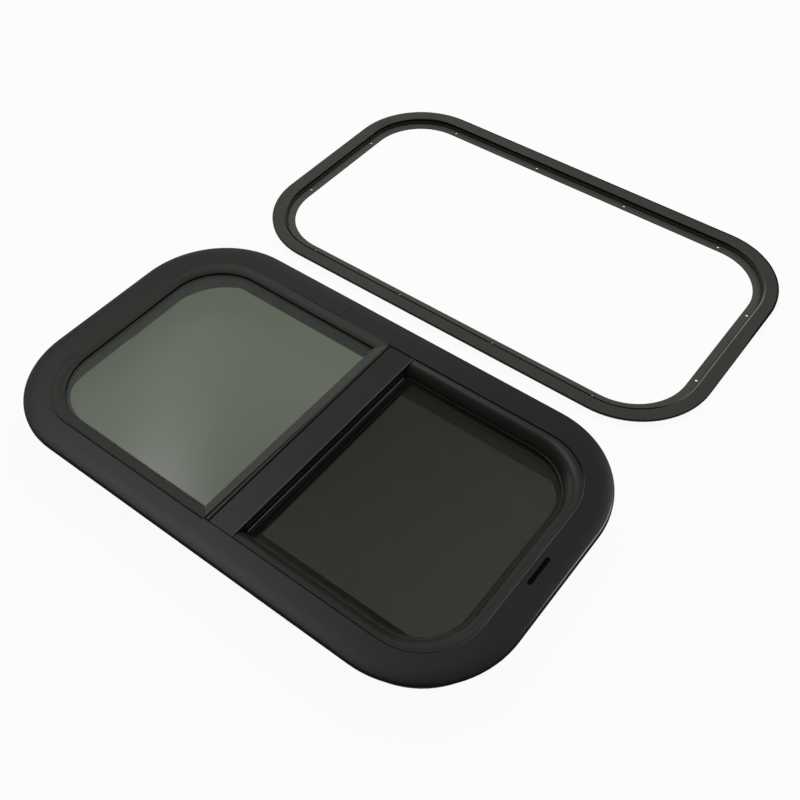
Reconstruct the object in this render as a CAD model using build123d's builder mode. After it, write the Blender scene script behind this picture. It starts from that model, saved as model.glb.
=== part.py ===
"""Half-slider caravan window with its clamp ring, laid out flat, outside face up.

X runs along the long side, towards the sliding pane. Y runs across, towards the ring.
Z is up, from the floor to the outside face. Lengths are in millimetres.
"""

from build123d import *
import os

os.makedirs("parts", exist_ok=True)

# Window outline and the bent frame
window_length = 660.4
window_width = 381.0
corner_radius = 116.4
frame_depth = 47.0
flange_width = 35.0
flange_thickness = 3.6
edge_height = 6.3
rim_width = 2.2
crown_width = 17.0
crown_drop = 1.4
edge_round = 1.8
lip_round = 0.6
opening_radius = 73.0
leg_inset = 18.0
leg_thickness = 2.0
wall_thickness = 2.0
wall_bottom = 5.0

# Channel in the leg that takes the clamp ring's screws
channel_inset = 24.5
channel_width = 3.2
channel_depth = 10.0
channel_wall = 2.0

# Panes
glass_thickness = 4.0
fixed_glass_drop = 5.4
sliding_glass_drop = 16.6
glass_bite = 4.0
glass_gap = 0.2

# Shelf below the fixed pane and track below the sliding pane
shelf_reach = 16.0
shelf_thickness = 2.0
gasket_base = 2.0
track_reach = 11.5
track_thickness = 2.0

# Rounded gasket on the fixed pane
gasket_gap = 0.08
gasket_step = 0.8
gasket_reach = 12.5
gasket_undercut = 2.6
gasket_shadow = 1.4
mitre_gap = 0.25

# Rounded trim around the sliding pane
trim_gap = 0.9
trim_step = 1.0
trim_reach = 17.8
trim_end_gap = 0.2

# Corner fillers of the gasket and the trim, just inside their upper edge
filler_drop = 0.05
filler_inset = 0.1
filler_width = 1.0

# Wiper seal between the trim and the sliding pane
wiper_show = 0.9
wiper_over_glass = 0.8
wiper_thickness = 1.2
wiper_corner = 3.0

# Mullion between the panes
mullion_x = 12.5
mullion_width = 38.4
mullion_drop = 1.1
mullion_rim = 0.8
mullion_rim_width = 1.6
mullion_groove = 1.2
mullion_plate = 2.4
mullion_wall = 2.0
mullion_end_gap = 0.8
pile_width = 1.6
pile_inset = 0.2
pile_gap = 0.4

# Run channels of the sliding pane
run_back = 2.5
run_reach = 11.0
run_play = 0.4
run_lip = 1.6
run_start_gap = 9.0
slide_edge_gap = 2.0

# Stile on the sliding pane's inner edge
stile_x = 8.0
stile_show = 10.6
stile_web = 2.0
stile_cheek = 2.0
stile_foot = 3.0
stile_foot_width = 16.0
stile_step = 1.4
stile_rib = 2.1
stile_bevel = 0.5
stile_end_gap = 1.0
stile_cap = 1.5
stile_pile_height = 0.8
stile_pile_gap = 0.2

# Finger pull under the stile
pull_length = 90.0
pull_base = 3.0
pull_width = 14.0
pull_fin = 4.0
pull_height = 13.0
pull_round = 1.2

# Insect screen under the sliding pane
screen_rail = 21.0
screen_depth = 8.0
screen_inset = 3.0
screen_left_rail = 14.0
screen_pull_gap = 0.5
screen_lip = 2.6
screen_lip_gap = 1.2
screen_sheet = 0.6
screen_sheet_inset = 1.2
screen_rebate = 7.0
spline_width = 3.4
spline_depth = 3.2
spline_inset = 0.4
tab_length = 14.0
tab_width = 9.0
tab_height = 3.0
tab_edge = 0.3
tab_spacing = 150.0
clip_length = 18.0
clip_reach = 12.0
clip_height = 3.0
clip_long_x = 150.0

# Drain slot in the flange, with its baffle
weep_inset = 26.0
weep_length = 38.4
weep_width = 5.0
weep_depth = 2.8
weep_gap = 0.25
baffle_floor = 0.8
baffle_rib = 1.2
baffle_height = 1.8
baffle_ribs = 5

# Butt joint across the flange
joint_x = -82.6
joint_width = 0.5
joint_depth = 0.5
scribe_length = 84.4
scribe_edge = 0.8

# Clamp ring
ring_x = -5.6
ring_y = 434.1
ring_radius = 106.5
ring_width = 31.2
ring_flange = 18.6
ring_slope = 2.9
ring_height = 9.5
ring_sheet = 2.0
ring_edge = 3.1
ring_edge_width = 1.6
ring_round = 0.8
ring_bend = 2.4
ring_hole = 4.2
ring_long_pitch = 145.0
ring_short_pitch = 138.4

# Levels and places that follow from the sizes above
half_length = window_length / 2
half_width = window_width / 2
flange_under = frame_depth - flange_thickness
rim_bottom = frame_depth - edge_height
fixed_top = frame_depth - fixed_glass_drop
fixed_bottom = fixed_top - glass_thickness
shelf_top = fixed_bottom - gasket_base
shelf_bottom = shelf_top - shelf_thickness
slide_top = frame_depth - sliding_glass_drop
slide_bottom = slide_top - glass_thickness
track_top = slide_bottom - run_play - run_lip
track_bottom = track_top - track_thickness
wall_face = flange_width
mullion_left = mullion_x - mullion_width / 2
mullion_right = mullion_x + mullion_width / 2
mullion_top = frame_depth - mullion_drop
inner_half_width = half_width - wall_face


def route(start, heading, runs, radius):
    """Straight runs joined by quarter bends to the left."""
    with BuildLine() as line:
        here = Vector(*start)
        angle = heading
        for index, run in enumerate(runs):
            straight = PolarLine(here, run, angle)
            here = straight @ 1
            if index < len(runs) - 1:
                bend = JernArc(start=here, tangent=straight % 1, radius=radius, arc_size=90)
                here = bend @ 1
                angle = angle + 90
    return line.wire()


def near_section(x):
    """Section plane on the near long side: first axis inward, second axis up."""
    return Plane(origin=(x, -half_width, 0), x_dir=(0, 1, 0), z_dir=(1, 0, 0))


def far_section(x):
    """Section plane on the far long side: first axis inward, second axis up."""
    return Plane(origin=(x, half_width, 0), x_dir=(0, -1, 0), z_dir=(-1, 0, 0))


def half_outline(end, side, inset, radius):
    """Outline on one side of the window (-1 left, 1 right), inset from the frame,
    rounded at the outer corners and cut off square at the given end."""
    outer = side * (half_length - inset)
    with BuildSketch() as shape:
        with Locations(((end + outer) / 2, 0)):
            Rectangle(abs(outer - end), window_width - 2 * inset)
        outward = Axis((0, 0, 0), (side, 0, 0))
        fillet(shape.vertices().group_by(outward)[-1], radius)
    return shape.sketch


def corner_filler(end, side, gap):
    """Band that fills the frame's opening into its sharper corners."""
    edge = wall_face + gap
    with BuildSketch(Plane.XY.offset(flange_under)) as band:
        add(half_outline(end, side, edge + filler_inset, opening_radius - gap - filler_inset))
        inner = edge + filler_width
        add(half_outline(end, side, inner, corner_radius - inner), mode=Mode.SUBTRACT)
    return band.sketch


straight_length = window_length - 2 * corner_radius
straight_width = window_width - 2 * corner_radius
outline = route(
    (0, -half_width),
    0,
    [straight_length / 2, straight_width, straight_length, straight_width, straight_length / 2],
    corner_radius,
)

# The frame is one bent profile: crowned flange, leg, screw channel, shelf and track
with BuildPart() as outer_frame:
    with BuildSketch(near_section(0)) as frame_profile:
        with BuildLine() as frame_line:
            crown = TangentArc(
                (crown_width, frame_depth),
                (edge_round, frame_depth - crown_drop),
                tangent=(-1, 0),
            )
            edge = TangentArc(
                crown @ 1,
                (0, frame_depth - crown_drop - edge_round),
                tangent=crown % 1,
            )
            groove_near = channel_inset - channel_width / 2
            groove_far = channel_inset + channel_width / 2
            Polyline(
                edge @ 1,
                (0, rim_bottom),
                (rim_width, rim_bottom),
                (rim_width, flange_under),
                (leg_inset, flange_under),
                (leg_inset, 0),
                (groove_near, 0),
                (groove_near, channel_depth),
                (groove_far, channel_depth),
                (groove_far, 0),
                (groove_far + channel_wall, 0),
                (groove_far + channel_wall, channel_depth + leg_thickness),
                (leg_inset + leg_thickness, channel_depth + leg_thickness),
                (leg_inset + leg_thickness, flange_under),
                (wall_face - wall_thickness, flange_under),
                (wall_face - wall_thickness, wall_bottom),
                (wall_face, wall_bottom),
                (wall_face, track_bottom),
                (wall_face + track_reach, track_bottom),
                (wall_face + track_reach, track_top),
                (wall_face, track_top),
                (wall_face, shelf_bottom),
                (wall_face + shelf_reach, shelf_bottom),
                (wall_face + shelf_reach, shelf_top),
                (wall_face, shelf_top),
                (wall_face, frame_depth - lip_round),
                (wall_face - lip_round, frame_depth),
                (crown_width, frame_depth),
            )
        make_face()
    sweep(path=outline)
    with BuildSketch(Plane.XY.offset(frame_depth)) as opening:
        RectangleRounded(window_length - 2 * wall_face, window_width - 2 * wall_face, opening_radius)
    extrude(amount=-flange_thickness, mode=Mode.SUBTRACT)
    with BuildSketch(Plane.XY.offset(frame_depth)) as weep_slot:
        with Locations((half_length - weep_inset, 0)):
            SlotOverall(weep_length, weep_width, rotation=90)
    extrude(amount=-weep_depth, mode=Mode.SUBTRACT)
    with BuildSketch(Plane.XY.offset(frame_depth)) as joint_line:
        with Locations((joint_x, half_width - flange_width / 2)):
            Rectangle(joint_width, flange_width - 2 * lip_round)
        with Locations((joint_x - scribe_length / 2, half_width - wall_face + lip_round + scribe_edge)):
            Rectangle(scribe_length, joint_width)
    extrude(amount=-joint_depth, mode=Mode.SUBTRACT)
outer_frame.part.label = "outer_frame"
export_step(outer_frame.part, "parts/outer_frame.step")

# Slotted baffle in the drain slot
with BuildPart() as weep_baffle:
    baffle_level = frame_depth - weep_depth
    with BuildSketch(Plane.XY.offset(baffle_level)) as baffle_base:
        with Locations((half_length - weep_inset, 0)):
            SlotOverall(weep_length - 2 * weep_gap, weep_width - 2 * weep_gap, rotation=90)
    extrude(amount=baffle_floor)
    with BuildSketch(Plane.XY.offset(baffle_level)) as baffle_bars:
        with Locations((half_length - weep_inset, 0)):
            with GridLocations(0, weep_length / (baffle_ribs + 1), 1, baffle_ribs):
                Rectangle(weep_width - 2 * weep_gap, baffle_rib)
    extrude(amount=baffle_height)
weep_baffle.part.label = "weep_baffle"
export_step(weep_baffle.part, "parts/weep_baffle.step")

# Fixed pane, rounded at the two corners that lie in the frame's bends
fixed_inset = wall_face + glass_bite
fixed_right = mullion_left - glass_bite
with BuildPart() as fixed_glass:
    with BuildSketch(Plane.XY.offset(fixed_bottom)) as fixed_outline:
        add(half_outline(fixed_right, -1, fixed_inset, corner_radius - fixed_inset))
    extrude(amount=glass_thickness)
fixed_glass.part.label = "fixed_glass"
export_step(fixed_glass.part, "parts/fixed_glass.step")


def gasket_line(face):
    """Outline of the glazing gasket, wrapped round the edge of the fixed pane."""
    lip = face + gasket_reach
    heel = lip - gasket_undercut
    edge_of_glass = face + glass_bite - glass_gap
    roll = TangentArc(
        (face + gasket_gap, frame_depth - gasket_step),
        (lip, fixed_top + gasket_shadow),
        tangent=(1, 0),
    )
    Polyline(
        roll @ 1,
        (heel, fixed_top + gasket_shadow),
        (heel, fixed_top),
        (edge_of_glass, fixed_top),
        (edge_of_glass, fixed_bottom),
        (heel, fixed_bottom),
        (heel, shelf_top),
        (face + gasket_gap, shelf_top),
        roll @ 0,
    )


# Gasket on the three framed sides of the fixed pane
with BuildPart() as glazing_gasket:
    gasket_run = half_length - corner_radius + mullion_left
    gasket_route = route(
        (mullion_left, half_width),
        180,
        [gasket_run, straight_width, gasket_run],
        corner_radius,
    )
    with BuildSketch(far_section(mullion_left)) as gasket_profile:
        with BuildLine() as gasket_edges:
            gasket_line(wall_face)
        make_face()
    sweep(path=gasket_route)
    extrude(
        corner_filler(mullion_left, -1, gasket_gap),
        amount=flange_thickness - gasket_step - filler_drop,
    )
    with BuildSketch(Plane.XY.offset(shelf_top)) as mitre_cut:
        with BuildLine() as mitre_edges:
            Polyline(
                (mullion_left, inner_half_width),
                (mullion_left - inner_half_width, 0),
                (mullion_left, -inner_half_width),
                close=True,
            )
        make_face()
    extrude(amount=frame_depth - shelf_top, mode=Mode.SUBTRACT)
glazing_gasket.part.label = "glazing_gasket"
export_step(glazing_gasket.part, "parts/glazing_gasket.step")

# The same gasket along the mullion, mitred into it
with BuildPart() as mullion_bead:
    bead_plane = Plane(
        origin=(mullion_left, -inner_half_width, 0), x_dir=(-1, 0, 0), z_dir=(0, 1, 0)
    )
    with BuildSketch(bead_plane) as bead_profile:
        with BuildLine() as bead_edges:
            gasket_line(0)
        make_face()
    extrude(amount=2 * inner_half_width)
    for side in (-1, 1):
        corner = (mullion_left, side * (inner_half_width - mitre_gap), 0)
        split(bisect_by=Plane(origin=corner, z_dir=(-1, side, 0)), keep=Keep.BOTTOM)
mullion_bead.part.label = "mullion_bead"
export_step(mullion_bead.part, "parts/mullion_bead.step")

# Mullion: flat bar with raised edges, two walls and a ledge for the fixed pane
mullion_span = 2 * inner_half_width - 2 * mullion_end_gap
ledge_span = 2 * (inner_half_width - shelf_reach) - 2 * mullion_end_gap
mullion_plane = Plane(origin=(0, 0, 0), x_dir=(1, 0, 0), z_dir=(0, -1, 0))
with BuildPart() as mullion:
    with BuildSketch(mullion_plane) as mullion_profile:
        with BuildLine() as mullion_edges:
            plate_under = mullion_top - mullion_plate
            rim_top = mullion_top + mullion_rim
            groove_edge = mullion_left + mullion_rim_width + mullion_groove
            Polyline(
                (mullion_left, shelf_top),
                (mullion_left, rim_top),
                (mullion_left + mullion_rim_width, rim_top),
                (mullion_left + mullion_rim_width, mullion_top - mullion_rim),
                (groove_edge, mullion_top - mullion_rim),
                (groove_edge, mullion_top),
                (mullion_right - mullion_rim_width, mullion_top),
                (mullion_right - mullion_rim_width, rim_top),
                (mullion_right, rim_top),
                (mullion_right, shelf_top),
                (mullion_right - mullion_wall, shelf_top),
                (mullion_right - mullion_wall, plate_under),
                (mullion_left + mullion_wall, plate_under),
                (mullion_left + mullion_wall, shelf_top),
                close=True,
            )
        make_face()
    extrude(amount=mullion_span / 2, both=True)
    with BuildSketch(mullion_plane) as ledge_profile:
        with BuildLine() as ledge_edges:
            Polyline(
                (mullion_left - shelf_reach, shelf_bottom),
                (mullion_left + mullion_wall, shelf_bottom),
                (mullion_left + mullion_wall, shelf_top),
                (mullion_left - shelf_reach, shelf_top),
                close=True,
            )
        make_face()
    extrude(amount=ledge_span / 2, both=True)
mullion.part.label = "mullion"
export_step(mullion.part, "parts/mullion.step")

# Pile strip under the mullion's wall, brushing the stile of the sliding pane
pile_top = shelf_top
pile_bottom = slide_top + stile_cheek + pile_gap
pile_half = inner_half_width - shelf_reach - mullion_end_gap
with BuildPart() as mullion_pile:
    with BuildSketch(Plane.XY.offset(pile_bottom)) as pile_outline:
        with Locations((mullion_right - pile_inset - pile_width / 2, 0)):
            Rectangle(pile_width, 2 * pile_half)
    extrude(amount=pile_top - pile_bottom)
mullion_pile.part.label = "mullion_pile"
export_step(mullion_pile.part, "parts/mullion_pile.step")

# Rounded trim on the three framed sides of the sliding pane
trim_start = mullion_right + trim_end_gap
wiper_bottom = slide_top + wiper_over_glass
wiper_top = wiper_bottom + wiper_thickness
with BuildPart() as reveal_trim:
    trim_run = half_length - corner_radius - trim_start
    trim_route = route(
        (trim_start, -half_width),
        0,
        [trim_run, straight_width, trim_run],
        corner_radius,
    )
    with BuildSketch(near_section(trim_start)) as trim_profile:
        with BuildLine() as trim_edges:
            trim_face = wall_face + trim_gap
            trim_back = wall_face + shelf_reach + trim_end_gap
            trim_roll = TangentArc(
                (trim_face, frame_depth - trim_step),
                (wall_face + trim_reach, wiper_top),
                tangent=(1, 0),
            )
            Polyline(
                trim_roll @ 1,
                (trim_back, wiper_top),
                (trim_back, shelf_top),
                (trim_face, shelf_top),
                trim_roll @ 0,
            )
        make_face()
    sweep(path=trim_route)
    extrude(
        corner_filler(trim_start, 1, trim_gap),
        amount=flange_thickness - trim_step - filler_drop,
    )
reveal_trim.part.label = "reveal_trim"
export_step(reveal_trim.part, "parts/reveal_trim.step")

# Wiper seal under the trim, with wider corners than the trim has
wiper_edge = wall_face + trim_reach + wiper_show
wiper_back = wall_face + run_reach + trim_end_gap
with BuildPart() as wiper_seal:
    with BuildSketch(Plane.XY.offset(wiper_bottom)) as wiper_outline:
        add(half_outline(trim_start, 1, wiper_back, corner_radius - wiper_back))
        add(
            half_outline(mullion_left, 1, wiper_edge, corner_radius - wiper_edge + wiper_corner),
            mode=Mode.SUBTRACT,
        )
    extrude(amount=wiper_thickness)
wiper_seal.part.label = "wiper_seal"
export_step(wiper_seal.part, "parts/wiper_seal.step")


def run_line():
    """Outline of the lined channel that the sliding pane's edge runs in."""
    Polyline(
        (wall_face, track_top),
        (wall_face + run_reach, track_top),
        (wall_face + run_reach, slide_bottom - run_play),
        (wall_face + run_back, slide_bottom - run_play),
        (wall_face + run_back, slide_top + run_play),
        (wall_face + run_reach, slide_top + run_play),
        (wall_face + run_reach, shelf_bottom),
        (wall_face, shelf_bottom),
        close=True,
    )


run_start = -half_length + corner_radius + run_start_gap
run_end = half_length - corner_radius

# Straight run channels on the near and the far long side
with BuildPart() as glass_run_near:
    with BuildSketch(near_section(run_start)) as near_run_profile:
        with BuildLine() as near_run_edges:
            run_line()
        make_face()
    extrude(amount=run_end - run_start)
glass_run_near.part.label = "glass_run_near"
export_step(glass_run_near.part, "parts/glass_run_near.step")

with BuildPart() as glass_run_far:
    with BuildSketch(far_section(run_end)) as far_run_profile:
        with BuildLine() as far_run_edges:
            run_line()
        make_face()
    extrude(amount=run_end - run_start)
glass_run_far.part.label = "glass_run_far"
export_step(glass_run_far.part, "parts/glass_run_far.step")

# Seal round the end that the sliding pane closes against
with BuildPart() as end_seal:
    with BuildLine() as seal_route:
        first_bend = JernArc((run_end, -half_width), (1, 0), corner_radius, 90)
        seal_straight = PolarLine(first_bend @ 1, straight_width, 90)
        JernArc(seal_straight @ 1, (0, 1), corner_radius, 90)
    with BuildSketch(near_section(run_end)) as seal_profile:
        with BuildLine() as seal_edges:
            run_line()
        make_face()
    sweep(path=seal_route.wire())
end_seal.part.label = "end_seal"
export_step(end_seal.part, "parts/end_seal.step")

# Sliding pane
slide_inset = wall_face + run_back + slide_edge_gap
slide_left = stile_x + stile_web
with BuildPart() as sliding_glass:
    with BuildSketch(Plane.XY.offset(slide_bottom)) as slide_outline:
        add(half_outline(slide_left, 1, slide_inset, corner_radius - slide_inset))
    extrude(amount=glass_thickness)
sliding_glass.part.label = "sliding_glass"
export_step(sliding_glass.part, "parts/sliding_glass.step")


stile_right = mullion_right + stile_show
rib_right = mullion_right + stile_rib
cheek_top = slide_top + stile_cheek
step_top = cheek_top - stile_step


def stile_line():
    """Outline of the stile: a channel on the pane's edge with a rib and a step for pile."""
    Polyline(
        (stile_x, slide_bottom - stile_foot),
        (stile_x + stile_foot_width, slide_bottom - stile_foot),
        (stile_x + stile_foot_width, slide_bottom),
        (slide_left, slide_bottom),
        (slide_left, slide_top),
        (stile_right, slide_top),
        (stile_right, step_top),
        (rib_right, step_top),
        (rib_right, cheek_top - stile_bevel),
        (rib_right - stile_bevel, cheek_top),
        (stile_x, cheek_top),
        close=True,
    )


stile_half = half_width - wiper_edge - stile_end_gap
stile_plane = Plane(origin=(0, 0, 0), x_dir=(1, 0, 0), z_dir=(0, -1, 0))
with BuildPart() as sash_stile:
    with BuildSketch(stile_plane) as stile_profile:
        with BuildLine() as stile_edges:
            stile_line()
        make_face()
    extrude(amount=stile_half - stile_cap, both=True)
sash_stile.part.label = "sash_stile"
export_step(sash_stile.part, "parts/sash_stile.step")

with BuildPart() as stile_caps:
    with BuildSketch(
        stile_plane.offset(stile_half - stile_cap), stile_plane.offset(-stile_half)
    ) as cap_profile:
        with BuildLine() as cap_edges:
            stile_line()
        make_face()
    extrude(amount=stile_cap)
stile_caps.part.label = "stile_caps"
export_step(stile_caps.part, "parts/stile_caps.step")

# Pile on the stile's step, beside the mullion
with BuildPart() as stile_pile:
    with BuildSketch(Plane.XY.offset(step_top)) as stile_pile_outline:
        with Locations(((rib_right + stile_right) / 2, 0)):
            Rectangle(stile_right - rib_right - 2 * stile_pile_gap, 2 * (stile_half - stile_cap))
    extrude(amount=stile_pile_height)
stile_pile.part.label = "stile_pile"
export_step(stile_pile.part, "parts/stile_pile.step")

# Finger pull on the room side of the stile
with BuildPart() as sash_pull:
    pull_top = slide_bottom - stile_foot
    pull_x = stile_x + stile_foot_width / 2
    with BuildSketch(Plane.XY.offset(pull_top)) as pull_plate:
        with Locations((pull_x, 0)):
            RectangleRounded(pull_width, pull_length, pull_round * 3)
    extrude(amount=-pull_base)
    with BuildSketch(Plane.XY.offset(pull_top - pull_base)) as pull_blade:
        with Locations((pull_x, 0)):
            RectangleRounded(pull_fin, pull_length - pull_width, pull_round)
    extrude(amount=pull_base - pull_height)
sash_pull.part.label = "sash_pull"
export_step(sash_pull.part, "parts/sash_pull.step")

# Insect screen under the sliding pane: rails with a raised lip, mesh and spline
screen_edge = wall_face + screen_inset
screen_left = stile_x + stile_foot_width + screen_pull_gap
screen_level = track_bottom - screen_depth
mesh_level = screen_level + screen_sheet_inset
lip_inset = track_reach + screen_lip_gap - screen_inset
mesh_inset = screen_rail - screen_rebate
spline_outer = mesh_inset - spline_width


def screen_outline(inset):
    """Outline of the screen, moved inward by the inset."""
    edge = screen_edge + inset
    left = screen_left + max(0, inset - screen_rail + screen_left_rail)
    return half_outline(left, 1, edge, corner_radius - edge)


def screen_band(level, outer, inner):
    """Sketch of the band between two insets of the screen's outline, at a level."""
    with BuildSketch(Plane.XY.offset(level)) as band:
        add(screen_outline(outer))
        add(screen_outline(inner), mode=Mode.SUBTRACT)
    return band.sketch


with BuildPart() as screen_frame:
    extrude(screen_band(screen_level, 0, screen_rail), amount=screen_depth)
    with BuildSketch(Plane.XY.offset(track_bottom)) as lip_band:
        lip_edge = screen_edge + lip_inset
        add(half_outline(screen_left + screen_left_rail, 1, lip_edge, corner_radius - lip_edge))
        add(screen_outline(screen_rail), mode=Mode.SUBTRACT)
    extrude(amount=screen_lip)
    extrude(
        screen_band(screen_level, mesh_inset, screen_rail),
        amount=screen_sheet_inset + screen_sheet,
        mode=Mode.SUBTRACT,
    )
    extrude(
        screen_band(screen_level, spline_outer, mesh_inset),
        amount=spline_depth,
        mode=Mode.SUBTRACT,
    )
screen_frame.part.label = "screen_frame"
export_step(screen_frame.part, "parts/screen_frame.step")

with BuildPart() as screen_mesh:
    with BuildSketch(Plane.XY.offset(mesh_level)) as mesh_outline:
        add(screen_outline(mesh_inset))
    extrude(amount=screen_sheet)
screen_mesh.part.label = "screen_mesh"
export_step(screen_mesh.part, "parts/screen_mesh.step")

with BuildPart() as screen_spline:
    extrude(
        screen_band(screen_level + spline_inset, spline_outer, mesh_inset),
        amount=spline_depth - spline_inset,
    )
screen_spline.part.label = "screen_spline"
export_step(screen_spline.part, "parts/screen_spline.step")

with BuildPart() as screen_tabs:
    with BuildSketch(Plane.XY.offset(screen_level)) as tab_outlines:
        with Locations((screen_left + tab_edge + tab_width / 2, 0)):
            with GridLocations(0, tab_spacing, 1, 2):
                Rectangle(tab_width, tab_length)
    extrude(amount=-tab_height)
screen_tabs.part.label = "screen_tabs"
export_step(screen_tabs.part, "parts/screen_tabs.step")

# Clips on the frame's inner wall that hold the screen up against the track
with BuildPart() as screen_clips:
    with BuildSketch(Plane.XY.offset(screen_level)) as clip_outlines:
        with Locations((clip_long_x, 0)):
            with GridLocations(0, 2 * inner_half_width - clip_reach, 1, 2):
                Rectangle(clip_length, clip_reach)
        with Locations((half_length - wall_face - clip_reach / 2, 0)):
            Rectangle(clip_reach, clip_length)
    extrude(amount=-clip_height)
screen_clips.part.label = "screen_clips"
export_step(screen_clips.part, "parts/screen_clips.step")

# Clamp ring: a flange on the wall, a step and a lip with the screw holes
with BuildPart() as trim_ring:
    ring_straight_x = window_length - 2 * ring_radius
    ring_straight_y = window_width - 2 * ring_radius
    ring_route = route(
        (ring_x, ring_y - half_width),
        0,
        [ring_straight_x / 2, ring_straight_y, ring_straight_x, ring_straight_y, ring_straight_x / 2],
        ring_radius,
    )
    ring_plane = Plane(origin=(ring_x, ring_y - half_width, 0), x_dir=(0, 1, 0), z_dir=(1, 0, 0))
    with BuildSketch(ring_plane) as ring_profile:
        with BuildLine() as ring_edges:
            Polyline(
                (0, ring_height - ring_edge),
                (ring_edge_width, ring_height - ring_edge),
                (ring_edge_width, ring_height - ring_sheet),
                (ring_flange - ring_sheet, ring_height - ring_sheet),
                (ring_flange + ring_slope - ring_sheet, 0),
                (ring_width, 0),
                (ring_width, ring_sheet),
                (ring_flange + ring_slope, ring_sheet),
                (ring_flange, ring_height),
                (ring_round, ring_height),
                (ring_round / 3, ring_height - ring_round / 3),
                (0, ring_height - ring_round),
                close=True,
            )
        make_face()
        fillet(ring_profile.vertices().group_by(Axis.Y)[-1].sort_by(Axis.X)[-1], ring_bend)
    sweep(path=ring_route)
    with BuildSketch(Plane.XY) as ring_holes:
        with Locations((ring_x, ring_y)):
            with GridLocations(ring_long_pitch, window_width - 2 * channel_inset, 4, 2):
                Circle(ring_hole / 2)
            with GridLocations(window_length - 2 * channel_inset, ring_short_pitch, 2, 2):
                Circle(ring_hole / 2)
    extrude(amount=ring_sheet, mode=Mode.SUBTRACT)
trim_ring.part.label = "trim_ring"
export_step(trim_ring.part, "parts/trim_ring.step")
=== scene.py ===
# %% [markdown]
# # A half-slider caravan window and its clamp ring
#
# The window lies flat with its outside face up, and the ring that clamps it into the wall
# lies beside it. The solids come in as a fixed frame, in metres, with every piece where it
# belongs. This lesson gives each piece its finish, weaves the insect screen, brushes up the
# pile strips, draws the lines along the edges, and sets the light and the camera of a plain
# product picture.

# %% Load the solids
import bpy
import math
from mathutils import Matrix, Vector


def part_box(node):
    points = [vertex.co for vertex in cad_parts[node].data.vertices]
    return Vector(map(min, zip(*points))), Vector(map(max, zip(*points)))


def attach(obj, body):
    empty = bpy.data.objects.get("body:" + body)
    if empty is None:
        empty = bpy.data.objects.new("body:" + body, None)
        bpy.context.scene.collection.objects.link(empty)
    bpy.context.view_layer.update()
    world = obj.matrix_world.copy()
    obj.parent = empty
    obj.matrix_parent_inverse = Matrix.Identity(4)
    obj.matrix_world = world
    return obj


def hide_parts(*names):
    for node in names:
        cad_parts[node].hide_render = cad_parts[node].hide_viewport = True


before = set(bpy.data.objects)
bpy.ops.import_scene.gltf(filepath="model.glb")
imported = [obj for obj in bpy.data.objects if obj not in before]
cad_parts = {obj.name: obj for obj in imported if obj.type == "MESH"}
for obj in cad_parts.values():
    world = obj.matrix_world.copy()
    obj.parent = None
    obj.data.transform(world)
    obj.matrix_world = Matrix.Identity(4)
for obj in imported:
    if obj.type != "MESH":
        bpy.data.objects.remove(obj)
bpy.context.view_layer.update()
mm = 0.001
print("pieces loaded:", len(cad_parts))

# %% [markdown]
# ## The camera
#
# The picture is square and was taken from above the near right corner. A camera in Blender
# looks along its own -Z, with its own Y up, so its rotation is a matrix whose columns are the
# picture's right, the picture's up and the direction back to the eye. Azimuth and elevation
# give the direction back, and a small roll turns the other two about it.

# %% Camera
eye = Vector((537.42, -514.69, 954.72)) * mm
azimuth = math.radians(38.234)
elevation = math.radians(49.486)
roll = math.radians(-0.97)

back = Vector((
    math.sin(azimuth) * math.cos(elevation),
    -math.cos(azimuth) * math.cos(elevation),
    math.sin(elevation),
))
level_right = Vector((math.cos(azimuth), math.sin(azimuth), 0))
level_up = back.cross(level_right)
picture_right = level_right * math.cos(roll) + level_up * math.sin(roll)
picture_up = level_up * math.cos(roll) - level_right * math.sin(roll)

camera_data = bpy.data.cameras.new("camera")
camera_data.sensor_width = 36.0
camera_data.lens = 47.32
camera_data.clip_start = 0.01
camera_data.clip_end = 50
camera = bpy.data.objects.new("camera", camera_data)
turn = Matrix((picture_right, picture_up, back)).transposed()
camera.matrix_world = Matrix.Translation(eye) @ turn.to_4x4()
bpy.context.scene.collection.objects.link(camera)
bpy.context.scene.camera = camera
print("camera stands", round(eye.length, 3), "m from the window's centre")

# %% [markdown]
# ## Node helpers
#
# Every finish is a small tree of shader nodes. A helper starts a tree with its output and a
# Principled shader, and others make the nodes that come back in most finishes: noise that is
# fixed to the object, sums on sockets and numbers, a range that a value is squeezed into, a
# mix of two tones, and a bump.

# %% Helpers for finishes
def start_finish(name):
    """A new material, its node tree and its Principled shader."""
    finish = bpy.data.materials.new(name)
    finish.use_nodes = True
    tree = finish.node_tree
    tree.nodes.clear()
    output = tree.nodes.new("ShaderNodeOutputMaterial")
    shader = tree.nodes.new("ShaderNodeBsdfPrincipled")
    tree.links.new(shader.outputs["BSDF"], output.inputs["Surface"])
    return finish, tree, shader


def object_noise(tree, scale, detail=2.0, roughness=0.5):
    """Noise on Object coordinates; a scale of 1000 gives grains of about a millimetre."""
    place = tree.nodes.new("ShaderNodeTexCoord")
    noise = tree.nodes.new("ShaderNodeTexNoise")
    noise.inputs["Scale"].default_value = scale
    noise.inputs["Detail"].default_value = detail
    noise.inputs["Roughness"].default_value = roughness
    tree.links.new(place.outputs["Object"], noise.inputs["Vector"])
    return noise.outputs["Fac"]


def plug(tree, socket, value):
    """Links a socket to another one, or sets its number."""
    if isinstance(value, bpy.types.NodeSocket):
        tree.links.new(value, socket)
    else:
        socket.default_value = value


def maths(tree, operation, *values):
    """One Math node on sockets or numbers."""
    node = tree.nodes.new("ShaderNodeMath")
    node.operation = operation
    for socket, value in zip(node.inputs, values):
        plug(tree, socket, value)
    return node.outputs[0]


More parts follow.
